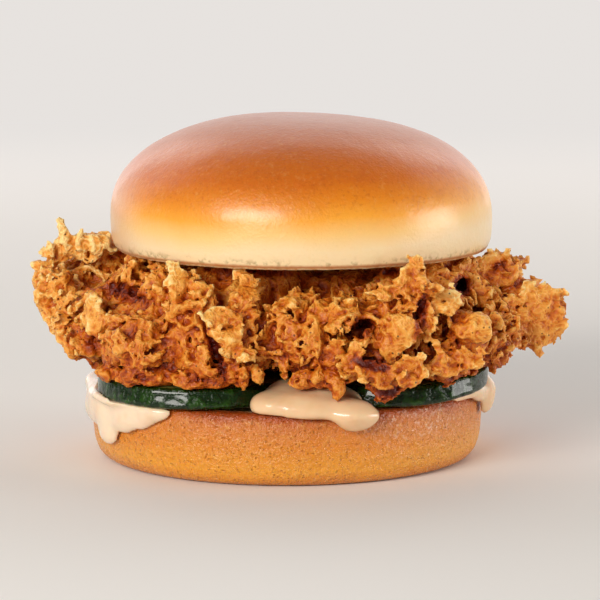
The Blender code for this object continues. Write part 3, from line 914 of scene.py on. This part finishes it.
def crust_field(place, skin, burger, low, high):
    """Positive inside the crust: a folded body under curled flakes, with hollows."""
    depth = inside(wavy(place, 13 * MM, 5 * MM), skin)
    x, y, _ = axes(place)
    # few loose flakes over the middle, which the bun covers
    spread = x * x * (1 / HALF_LENGTH**2) + y * y * (1 / HALF_DEPTH**2)
    covered = ((0.45 - spread) * (60 * MM)).max(0.0)
    # fuller under the crown, but not at its front
    from_middle = (x * x + y * y).op("SQRT")
    filled = ((burger.bun.crown_radius - 3 * MM - from_middle) * 0.6).max(0.0).min(3.2 * MM)
    filled = filled * y.step(-38 * MM, -26 * MM)
    # the body, with bites eaten out of it, folds, creases and hills
    rough = wavy(place, 2.4 * MM, 1.4 * MM, (5, 5, 5))
    curled = wavy(rough, 7 * MM, 5.5 * MM, (1, 2, 3))
    eaten = (cloud(place, 16 * MM, shift=(8, 1, 4)) * (55 * MM) - 2.2 * MM).max(0.0).min(5 * MM)
    fold = ((0.10 - abs(cloud(curled, 6.5 * MM, shift=(3, 1, 9)))) * (15 * MM)).max(-1.8 * MM)
    pleat = cloud(curled, 3.0 * MM, shift=(3, 7, 9))
    crease = ((0.12 - abs(pleat)) * (4.5 * MM)).max(-0.6 * MM)
    hill = cloud(place, 7 * MM, shift=(2, 2, 4)) * (3.6 * MM)
    body = depth - 1.5 * MM - eaten + fold + crease + hill + filled
    edge = depth + cloud(rough, 6 * MM, 1.0, 0.5, (7, 8, 9)) * (7 * MM) + 0.6 * MM - covered
    whole = body
    flake = burger.crust.flake
    for spacing, radius, bend, thickness, inset, blend, shift in PLATES:
        plates = loose_plates(curled, flake * spacing, bend, thickness * MM, flake * radius, shift)
        whole = whole.join(plates.min(edge - inset * MM), blend * MM)
    # what is listed, pushed about half as far as the rest
    placed = vector("ADD", place, vector("SCALE", vector("SUBTRACT", curled, place), scale=0.5))
    ragged = pleat * (3.8 * MM)
    ripple = cloud(place, 5 * MM, 1.0, 0.5, (9, 2, 8)) * (4.0 * MM)
    thickness = hill * 0.2 + 0.8 * MM
    for centre, half, turn in within(HOLLOWS, low, high):
        whole = whole.cut(lump(placed, centre, half, turn) * -1.0, 0.6 * MM)
    for centre, half, turn, bend in within(LEAVES, low, high):
        plate = leaf(placed, centre, half, turn, bend, thickness, ragged, ripple)
        whole = whole.join(plate, 0.5 * MM)
    for centre, half, turn in within(NUBS, low, high):
        whole = whole.join(lump(placed, centre, half, turn), 0.5 * MM)
    for centre, half, turn in within(PITS, low, high):
        whole = whole.cut(lump(place, centre, half, turn) * -1.0, 0.2 * MM)
    # fine wrinkles and grains over all of it
    wrinkle = 0.09 - abs(cloud(rough, 2.8 * MM, 1.0, 0.5, (2, 8, 1)))
    whole = whole + wrinkle * (3.6 * MM) + cloud(rough, 1.7 * MM, shift=(4, 8, 1)) * (0.8 * MM)
    return whole.min(clear_of_rest(place, burger) - 0.2 * MM)


def add_volume(obj, grain, low, high, field, marks=()):
    """Swaps a mesh for the skin of field(place, mesh), and stores marks on it by name."""
    tree, way_in, way_out, place = geometry_tree(obj.name)
    cube = tree.nodes.new("GeometryNodeVolumeCube")
    feed(cube.inputs["Density"], field(place, way_in))
    cube.inputs["Background"].default_value = -1.0
    # pieces that meet share one lattice, so that their skins meet too
    first = [math.floor(part / grain) for part in low]
    counts = [math.ceil(part / grain) - start for part, start in zip(high, first)]
    cube.inputs["Min"].default_value = [start * grain for start in first]
    cube.inputs["Max"].default_value = [(a + n) * grain for a, n in zip(first, counts)]
    for axis, count in zip("XYZ", counts):
        cube.inputs["Resolution " + axis].default_value = count + 1
    mesh = tree.nodes.new("GeometryNodeVolumeToMesh")
    tree.links.new(cube.outputs[0], mesh.inputs["Volume"])
    mesh.inputs["Threshold"].default_value = 0.0
    mesh.inputs["Adaptivity"].default_value = 0.0
    made = mesh.outputs[0]
    for name, mark in marks:
        keep = tree.nodes.new("GeometryNodeStoreNamedAttribute")
        keep.data_type = "FLOAT"
        keep.domain = "POINT"
        tree.links.new(made, keep.inputs["Geometry"])
        keep.inputs["Name"].default_value = name
        feed(keep.inputs["Value"], mark(place, way_in))
        made = keep.outputs[0]
    tree.links.new(made, way_out)
    obj.modifiers.new("volume", "NODES").node_group = tree
    bake_modifiers(obj)
    if len(obj.data.vertices) < FEWEST_POINTS:
        raise RuntimeError(obj.name + " came out empty")
    drop_loose_bits(obj)
    return obj


def add_crust(obj, burger, low, high):
    """Turns a plain fillet into the skin of its crust between the corners low and high."""

    def field(place, skin):
        return crust_field(place, skin, burger, low, high)

    def darkness(place, _):
        """Painted shade for the hollows: 1 in the middle of a hollow, 0 at its wall and less
        outside.
        """
        dark = axes(place)[0] * 0.0 - 1.0
        for centre, half, turn in within(HOLLOWS, low, high):
            dark = dark.max(lump(place, centre, half, turn) * (1 / (min(half) * MM)))
        return dark

    # depth and the marked hollows darken the crust's colour, in part as painted shade
    marks = (("depth", inside), ("dark", darkness))
    return add_volume(obj, burger.crust.grain, low, high, field, marks)


# The sauce's field --------------------------------------------------------------------------

# Lumps of sauce on the heel: centre and half axes in millimetres, turn in degrees.
POOLS = (
    ((-3.6, 0, 19.6), (47, 47, 2.0), (0, 0, 0)),  # the layer under the filling
    ((3, -40.5, 22.3), (13.5, 13, 4.9), (0, 0, 0)),  # the mound between the pickles
    ((-8.0, -50.0, 22.2), (4.8, 5.6, 2.7), (0, 0, -8)),  # its front, from left to right
    ((1.5, -51.0, 21.4), (9.0, 5.4, 3.0), (0, 3, 0)),
    ((13.6, -50.6, 20.0), (6.2, 5.6, 3.8), (0, 6, 14)),
    ((15.0, -52.6, 18.8), (4.6, 3.2, 3.7), (0, 0, 14)),
    ((-45, -27, 20.5), (10, 12, 3.0), (0, 0, 0)),  # under the left pickle
    ((-53, 0, 20.5), (5.5, 7, 2.2), (0, 0, 0)),
    ((-53.8, -13, 18.6), (3.2, 9.5, 3.4), (0, 0, -8)),  # round that pickle's end
)
# Sauce on the heel's side: degrees round from the front, top, bottom, half width, half depth.
CURTAINS = (
    (-88, 20.0, 12.6, 6.0, 1.3),
    (-79, 20.6, 11.5, 7.0, 2.1),
    (-70, 21.2, 9.8, 7.0, 2.8),
    (-61, 21.6, 7.4, 6.0, 3.4),
    (-60.5, 12.6, 6.6, 4.6, 3.0),
    (-53, 22, 10.6, 7.0, 3.4),
    (-44.5, 21.5, 13.4, 6.6, 3.2),
    (-39, 21.2, 15.6, 5.0, 2.8),
    (61, 21.4, 18.6, 6.0, 1.8),
    (71, 22.0, 16.4, 5.4, 3.0),
    (80, 24.0, 12.2, 5.4, 4.0),
)


def sauce_field(place, burger):
    """Positive inside the sauce: soft lumps run together, kept off the bun and the pickles."""
    flowing = wavy(place, 9 * MM, 2.0 * MM, (4, 4, 9))
    whole = None
    for centre, half, turn in POOLS:
        blob = lump(flowing, centre, half, turn)
        whole = whole.join(blob, 2.4 * MM) if whole else blob
    reach = burger.bun.heel_radius / MM
    for degrees, top, bottom, width, thickness in CURTAINS:
        angle = math.radians(degrees)
        across = burger.bun.heel_x / MM + reach * math.sin(angle)
        centre = (across, -reach * math.cos(angle), (top + bottom) / 2)
        half = (width, thickness, (top - bottom) / 2)
        whole = whole.join(lump(flowing, centre, half, (0, 0, degrees)), 2.4 * MM)
    return whole.cut(clear_of_rest(place, burger) - 0.12 * MM, 0.8 * MM)


# Work on finished skins ---------------------------------------------------------------------


def edge_ends(mesh):
    """The two point numbers of each edge."""
    ends = np.zeros(len(mesh.edges) * 2, np.int32)
    mesh.edges.foreach_get("vertices", ends)
    return ends.reshape(-1, 2)


def drop_loose_bits(obj):
    """Deletes the stray bits of a mesh."""
    mesh = obj.data
    ends = edge_ends(mesh)
    label = np.arange(len(mesh.vertices))
    while True:
        lowest = label.copy()
        np.minimum.at(lowest, ends[:, 0], label[ends[:, 1]])
        np.minimum.at(lowest, ends[:, 1], label[ends[:, 0]])
        lowest = lowest[lowest]
        if (lowest == label).all():
            break
        label = lowest
    few = np.bincount(label, minlength=len(label))[label] < LOOSE_BIT
    only(obj)
    mesh.vertices.foreach_set("select", few)
    mesh.edges.foreach_set("select", few[ends].all(axis=1))
    bpy.ops.object.mode_set(mode="EDIT")
    bpy.ops.mesh.select_mode(type="VERT")
    bpy.ops.mesh.delete(type="VERT")
    bpy.ops.object.mode_set(mode="OBJECT")


def store_relief(obj):
    """Stores how far each point stands out from near and from far, in millimetres."""
    mesh = obj.data
    count = len(mesh.vertices)
    ends = edge_ends(mesh)
    valence = np.maximum(np.bincount(ends.ravel(), minlength=count), 1)[:, None]
    place = np.zeros(count * 3, np.float32)
    mesh.vertices.foreach_get("co", place)
    place = place.reshape(-1, 3).astype(float)
    normal = np.zeros(count * 3, np.float32)
    mesh.vertices.foreach_get("normal", normal)
    normal = normal.reshape(-1, 3)

    def softened(values, rounds):
        """The values at the points, averaged with their neighbours' that many times."""
        for _ in range(rounds):
            total = np.zeros_like(values)
            for column in range(values.shape[1]):
                part = values[:, column]
                total[:, column] = np.bincount(ends[:, 0], part[ends[:, 1]], count)
                total[:, column] += np.bincount(ends[:, 1], part[ends[:, 0]], count)
            values = 0.5 * values + 0.5 * total / valence
        return values

    near = softened(place, 4)
    far = softened(near, 40)
    # the crust's finish makes proud points lighter and sunk ones darker by these, in part as
    # painted light and shade
    for name, around, rounds in (("fine", near, 1), ("broad", far, 2)):
        proud = ((place - around) * normal).sum(axis=1, keepdims=True) / MM
        values = softened(proud, rounds)[:, 0].astype(np.float32)
        mesh.attributes.new(name, "FLOAT", "POINT").data.foreach_set("value", values)


def trim_to_quarter(obj, right, back):
    """Cuts a piece of crust at the middle planes and closes it there."""
    only(obj)
    bpy.ops.object.mode_set(mode="EDIT")
    for normal, far_side in (((1, 0, 0), right), ((0, 1, 0), back)):
        bpy.ops.mesh.select_all(action="SELECT")
        bpy.ops.mesh.bisect(
            plane_co=(0, 0, 0),
            plane_no=normal,
            use_fill=True,
            clear_inner=far_side,
            clear_outer=not far_side,
        )
    bpy.ops.object.mode_set(mode="OBJECT")
    return obj


# Operators ----------------------------------------------------------------------------------


class BURGER_OT_crown(Operator):
    """Adds the glazed top bun"""

    bl_idname = "burger.crown"
    bl_label = "Crown"
    bl_options = {"REGISTER", "UNDO"}

    def execute(self, context):
        bun = context.scene.burger.bun
        radius = bun.crown_radius
        rim_height, rim_tuck = 8.5 * MM, 2.6 * MM
        dome = bun.crown_height - rim_height
        profile = [(x, rim_height + z) for x, z in super_arc(radius, dome, 2.35, 60)]
        for x, z in reversed(list(super_arc(rim_tuck, rim_height, 2.6, 16))[:-1]):
            profile.append((radius - rim_tuck + x, rim_height - z))
        profile.append((0.0, 0.0))
        crown = lathe("crown", evenly(profile, PROFILE_STEP), bun.steps)

        def dented(point):
            """Hand-shaped dough: a broad unevenness, and short cracks where the side was cut."""
            share = min(1.0, max(0.0, point.z / bun.crown_height))
            swell = hills.noise(point * 22 + Vector((3, 1, 7))) * 1.2 * MM * share
            around = math.degrees(math.atan2(point.x, -point.y))
            for at, depth, reach in ((23.5, 0.5, 0.12), (42, 0.35, 0.09), (-31, 0.3, 0.07)):
                if share < reach and abs(around - at) < 2:
                    narrow = math.exp(-(((around - at) / 0.35) ** 2))
                    swell -= depth * MM * narrow * (1 - share / reach)
            point += point.normalized() * swell
            return point + Vector((bun.crown_x, 0, bun.crown_z))

        reshape(crown, dented)

        def skin(place):
            """Shallow dimples all over, wrinkles near the cut, and crumb on the cut face."""
            height = (axes(place)[2] - bun.crown_z) * (1 / bun.crown_height)
            low = height.step(0.13, 0.03)
            wrinkle = cloud(place, 2.2 * MM, 2.0, 0.6, (7, 7, 1)) * (0.42 * MM)
            dimple = cloud(place, 7 * MM, 2.0, 0.5, (2, 7, 1)) * (0.22 * MM)
            return (wrinkle - 0.05 * MM) * low + dimple

        add_relief(crown, skin)
        finish_piece(crown, crown_finish(bun), "bun_crown")
        return {"FINISHED"}


class BURGER_OT_heel(Operator):
    """Adds the bottom bun"""

    bl_idname = "burger.heel"
    bl_label = "Heel"
    bl_options = {"REGISTER", "UNDO"}

    def execute(self, context):
        bun = context.scene.burger.bun
        radius, tall = bun.heel_radius, bun.heel_height
        foot, widest, shoulder = 6.4 * MM, 14 * MM, 2.2 * MM
        dish = tall - bun.dish
        profile = [(0.0, dish), (radius - 10 * MM, dish), (radius - 5 * MM, tall)]
        for x, z in super_arc(shoulder, tall - widest, 2.6, 14):
            profile.append((radius - shoulder + x, widest + z))
        for x, z in reversed(list(super_arc(foot, widest, 3.2, 30))[:-1]):
            profile.append((radius - foot + x, widest - z))
        profile.append((0.0, 0.0))
        heel = lathe("heel", evenly(profile, PROFILE_STEP), bun.steps)

        def settled(point):
            """A little out of round, more so towards the rim."""
            share = min(1.0, max(0.0, point.z / tall))
            around = math.atan2(point.y, point.x)
            swell = 0.006 * share * math.sin(2 * around + 0.6)
            swell += 0.004 * share * math.sin(5 * around)
            return Vector((point.x * (1 + swell) + bun.heel_x, point.y * (1 + swell), point.z))

        reshape(heel, settled)

        def skin(place):
            """Pores of a soft bun: many small dimples, fading out towards the foot."""
            _, distance, chance = cells(place, 2.6 * MM, (3, 1, 3))
            pit = distance.step(1.0 * MM, 0.3 * MM) * axes(chance)[0].step(-0.3, 0.4)
            soft = cloud(place, 5 * MM, 3.0, 0.6, (2, 3, 1)) * (0.7 * MM)
            share = axes(place)[2].step(0.2 * MM, 2.5 * MM)
            return (soft - pit * (0.4 * MM)) * share - 0.05 * MM * share

        add_relief(heel, skin)
        finish_piece(heel, heel_finish(bun), "bun_heel")
        return {"FINISHED"}


class BURGER_OT_pickles(Operator):
    """Adds the two pickle slices"""

    bl_idname = "burger.pickles"
    bl_label = "Pickles"
    bl_options = {"REGISTER", "UNDO"}

    def execute(self, context):
        look = context.scene.burger.pickle
        bun = context.scene.burger.bun
        rest = bun.heel_height + GAP
        material = pickle_finish(look)

        def skin(place):
            """Soft lumps all over."""
            return cloud(place, 3.5 * MM, 2.0, 0.6, (5, 5, 5)) * (0.5 * MM)

        for name, (radius, x, y, lift) in SLICES.items():
            edge, top = 0.9 * MM, look.thickness
            corner = list(super_arc(edge, edge, 2, 8))
            profile = [(0.0, top)]
            profile += [(radius - edge + a, top - edge + b) for a, b in corner]
            profile += [(radius - edge + a, edge - b) for a, b in reversed(corner)]
            profile.append((0.0, 0.0))
            piece = lathe(name + "_slice", evenly(profile, 0.55 * MM), 240)
            reach = [v.co.to_2d().length / radius for v in piece.data.vertices]
            rim = piece.data.attributes.new("rim", "FLOAT", "POINT")
            rim.data.foreach_set("value", np.array(reach, np.float32))
            outwards = math.copysign(1, x)

            def limp(point):
                """In its place: a little out of round, its outer end bent up, its rim aslant."""
                around = math.atan2(point.y, point.x)
                uneven = 1 + 0.018 * math.sin(3 * around + x * 90) + 0.012 * math.sin(2 * around)
                bent = lift * max(0.0, point.x * outwards / radius) ** 2
                aslant = SLANT * (point.z - look.thickness / 2)
                along = point.y * uneven + y + aslant
                return Vector((point.x * uneven + x, along, point.z + rest + bent))

            reshape(piece, limp)
            add_relief(piece, skin)
            finish_piece(piece, material, name, 50)
        return {"FINISHED"}


class BURGER_OT_sauce(Operator):
    """Adds the sauce that runs over the rim of the heel"""

    bl_idname = "burger.sauce"
    bl_label = "Sauce"
    bl_options = {"REGISTER", "UNDO"}

    def execute(self, context):
        burger = context.scene.burger
        low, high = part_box("sauce")
        room = Vector((3 * MM,) * 3)
        sauce = cad_copy("sauce", "sauce_pool")

        def field(place, _):
            return sauce_field(place, burger)

        add_volume(sauce, burger.sauce.grain, low - room, high + room, field)
        soften = sauce.modifiers.new("soften", "SMOOTH")
        soften.iterations = 6
        soften.factor = 0.5
        bake_modifiers(sauce)
        finish_piece(sauce, sauce_finish(burger.sauce), "sauce")
        return {"FINISHED"}


class BURGER_OT_crust(Operator):
    """Adds the fried crust in four closed quarters"""

    bl_idname = "burger.crust"
    bl_label = "Crust"
    bl_options = {"REGISTER", "UNDO"}

    def execute(self, context):
        burger = context.scene.burger
        low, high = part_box("chicken_fillet")
        room, overlap = 3 * MM, 4 * MM
        material = crust_finish(burger.crust)
        for name, right, back in QUARTERS:
            start, end = low - Vector((room,) * 3), high + Vector((room,) * 3)
            for axis, far_side in enumerate((right, back)):
                if far_side:
                    start[axis] = -overlap
                else:
                    end[axis] = overlap
            piece = cad_copy("chicken_fillet", name)
            add_crust(piece, burger, start, end)
            store_relief(piece)
            trim_to_quarter(piece, right, back)
            finish_piece(piece, material, "chicken_fillet")
        return {"FINISHED"}


class BURGER_OT_stage(Operator):
    """Adds the floor, the lights and the camera"""

    bl_idname = "burger.stage"
    bl_label = "Stage"
    bl_options = {"REGISTER", "UNDO"}

    def execute(self, context):
        look = context.scene.burger.stage
        scene = context.scene
        bpy.ops.object.select_all(action="DESELECT")
        bpy.ops.mesh.primitive_plane_add(size=30, location=(0, 0, -0.1 * MM))
        floor = context.object
        floor.name = "floor"
        bpy.ops.object.transform_apply(location=True, rotation=True, scale=True)
        floor.data.materials.append(floor_finish(look))

        aim = Vector((0, 0, look.middle))
        for name, place, (wide, tall), power, tint in LAMPS:
            bpy.ops.object.light_add(type="AREA", location=place)
            lamp = context.object
            lamp.name = name
            lamp.data.shape = "RECTANGLE"
            lamp.data.size = wide
            lamp.data.size_y = tall
            lamp.data.energy = power
            lamp.data.color = srgb(*tint)
            lamp.rotation_euler = (aim - Vector(place)).to_track_quat("-Z", "Y").to_euler()

        world = bpy.data.worlds.new("surroundings")
        world.use_nodes = True
        scene.world = world
        sky = world.node_tree.nodes["Background"].inputs
        sky["Color"].default_value = (*look.sky, 1.0)
        ray = world.node_tree.nodes.new("ShaderNodeLightPath")
        seen = Field(world.node_tree, ray.outputs["Is Camera Ray"])
        feed(sky["Strength"], seen * (BACKDROP - SKYLIGHT) + SKYLIGHT)

        out = look.distance * math.cos(look.elevation)
        up = look.middle + look.distance * math.sin(look.elevation)
        tilt = math.pi / 2 - look.elevation
        bpy.ops.object.camera_add(location=(0, -out, up), rotation=(tilt, 0, 0))
        camera = context.object
        camera.name = "camera"
        camera.data.lens = look.lens
        camera.data.sensor_width = 36
        scene.camera = camera
        scene.view_settings.view_transform = "Standard"
        return {"FINISHED"}


class BURGER_PT_panel(Panel):
    """Lists the burger's operators and settings"""

    bl_idname = "BURGER_PT_panel"
    bl_label = "Chicken burger"
    bl_space_type = "VIEW_3D"
    bl_region_type = "UI"
    bl_category = "Burger"

    def draw(self, context):
        burger = context.scene.burger
        for operator, part in (
            ("burger.crown", "bun"),
            ("burger.heel", None),
            ("burger.pickles", "pickle"),
            ("burger.sauce", "sauce"),
            ("burger.crust", "crust"),
            ("burger.stage", "stage"),
        ):
            self.layout.operator(operator)
            if part:
                box = self.layout.box()
                settings = getattr(burger, part)
                for name in settings.__annotations__:
                    box.prop(settings, name)


CLASSES = (
    BunSettings,
    CrustSettings,
    PickleSettings,
    SauceSettings,
    StageSettings,
    BurgerSettings,
    BURGER_OT_crown,
    BURGER_OT_heel,
    BURGER_OT_pickles,
    BURGER_OT_sauce,
    BURGER_OT_crust,
    BURGER_OT_stage,
    BURGER_PT_panel,
)


def register():
    for kind in CLASSES:
        bpy.utils.register_class(kind)
    bpy.types.Scene.burger = PointerProperty(type=BurgerSettings)


def unregister():
    del bpy.types.Scene.burger
    for kind in reversed(CLASSES):
        bpy.utils.unregister_class(kind)


def main():
    """Builds every piece and the stage."""
    register()
    bpy.ops.burger.crown()
    bpy.ops.burger.heel()
    bpy.ops.burger.pickles()
    bpy.ops.burger.sauce()
    bpy.ops.burger.crust()
    bpy.ops.burger.stage()


if __name__ == "__main__":
    main()
